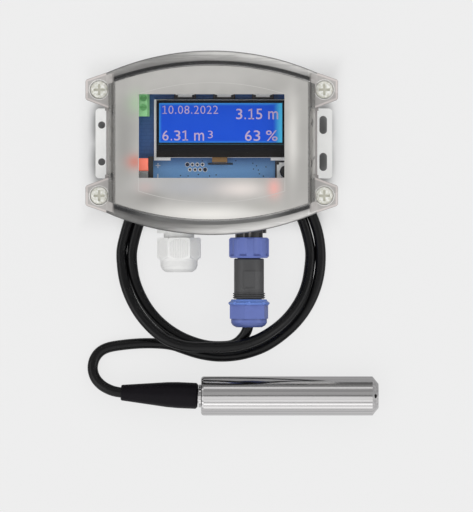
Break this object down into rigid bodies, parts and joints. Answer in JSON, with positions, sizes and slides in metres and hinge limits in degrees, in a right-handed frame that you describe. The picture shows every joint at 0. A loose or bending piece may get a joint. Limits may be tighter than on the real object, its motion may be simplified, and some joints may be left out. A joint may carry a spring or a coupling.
{
  "type": "hydrostatic level sensor",
  "caption": "Hydrostatic level sensor: wall housing with clear lid, display, cable gland and screw connector, its cable laid in a ring, and a stainless submersible probe.",
  "frame": {"origin": "the point of the surface the part lies on that is under the middle of housing and probe together", "axes": "+X to the housing's right and along the probe to its nose, +Y up the housing from gland to top edge, +Z out of the lid"},
  "size_m": [0.1614, 0.201, 0.056],
  "materials": {
    "base_white": "fine satin moulding",
    "lid_clear": "clear polycarbonate",
    "gasket_grey": "matt",
    "screw_steel": "stamped, bright",
    "film_frosted": "frosted film",
    "board_blue": "solder mask, semi gloss",
    "display_white": "satin",
    "display_dark": "polished, backlit",
    "flex_gold": "semi gloss",
    "chip_black": "matt",
    "terminal_green": "semi gloss",
    "bus_red": "semi gloss",
    "bus_grey": "semi gloss",
    "key_cover_steel": "stamped",
    "key_black": "satin",
    "lamp_red": "clear coloured, lit",
    "gland_white": "satin",
    "gland_rubber": "matt",
    "connector_blue": "satin",
    "connector_grey": "satin",
    "contact_brass": "bright",
    "wire_insulation": "satin",
    "cable_black": "satin jacket",
    "boot_rubber": "satin",
    "probe_steel": "turned and polished",
    "cell_ceramic": "fired ceramic"
  },
  "bodies": {
    "sensor": {"housing_base": "base_white", "lid": "lid_clear", "lid_gasket": "gasket_grey", "lid_screws": "screw_steel", "board_screws": "screw_steel", "terminal_screws": "screw_steel", "front_film": "film_frosted", "main_board": "board_blue", "probe_board": "board_blue", "display_frame": "display_white", "display_glass": "display_dark", "display_flex": "flex_gold", "controller_chip": "chip_black", "bus_holder": "chip_black", "key_bodies": "chip_black", "supply_terminal": "terminal_green", "bus_plug_red": "bus_red", "bus_plug_grey": "bus_grey", "key_covers": "key_cover_steel", "program_lamp": "lamp_red", "gland_body": "gland_white", "gland_lock_nut": "gland_white", "gland_washer": "gland_rubber", "gland_seal": "gland_rubber", "socket_gasket": "gland_rubber", "plug_seal": "gland_rubber", "cell_seal": "gland_rubber", "panel_socket": "connector_grey", "socket_nut": "connector_grey", "plug_body": "connector_grey", "contact_pins": "contact_brass", "socket_wires": "wire_insulation", "cable_lead": "cable_black", "cable_over": "cable_black", "cable_coil": "cable_black", "cable_tail": "cable_black", "cable_boot": "boot_rubber", "probe_cap": "probe_steel", "probe_tube": "probe_steel", "probe_nose": "probe_steel", "pressure_cell": "cell_ceramic"},
    "key_left": {"key_left": "key_black"},
    "key_middle": {"key_middle": "key_black"},
    "key_right": {"key_right": "key_black"},
    "program_key": {"program_key": "key_black"},
    "coupling_ring": {"coupling_ring": "connector_blue"},
    "gland_nut": {"gland_nut": "gland_white"},
    "plug_clamp_nut": {"plug_clamp_nut": "connector_blue"}
  },
  "joints": [
    {"name": "key_left_press", "type": "slide", "parent": "sensor", "child": "key_left", "axis": [0, 0, -1], "range_m": [0, 0.00035], "stiffness_N_per_m": 5000},
    {"name": "key_middle_press", "type": "slide", "parent": "sensor", "child": "key_middle", "axis": [0, 0, -1], "range_m": [0, 0.00035], "stiffness_N_per_m": 5000},
    {"name": "key_right_press", "type": "slide", "parent": "sensor", "child": "key_right", "axis": [0, 0, -1], "range_m": [0, 0.00035], "stiffness_N_per_m": 5000},
    {"name": "program_key_press", "type": "slide", "parent": "sensor", "child": "program_key", "axis": [0, 0, -1], "range_m": [0, 0.00035], "stiffness_N_per_m": 5000},
    {"name": "coupling_turn", "type": "hinge", "parent": "sensor", "child": "coupling_ring", "pos_m": [0.00915, -0.0078, 0.02], "axis": [0, -1, 0], "range_deg": [0, 540]},
    {"name": "gland_nut_turn", "type": "hinge", "parent": "sensor", "child": "gland_nut", "pos_m": [-0.02945, -0.0118, 0.02], "axis": [0, -1, 0], "range_deg": [0, 720]},
    {"name": "clamp_nut_turn", "type": "hinge", "parent": "sensor", "child": "plug_clamp_nut", "pos_m": [0.00915, -0.044, 0.02], "axis": [0, -1, 0], "range_deg": [0, 720]}
  ]
}
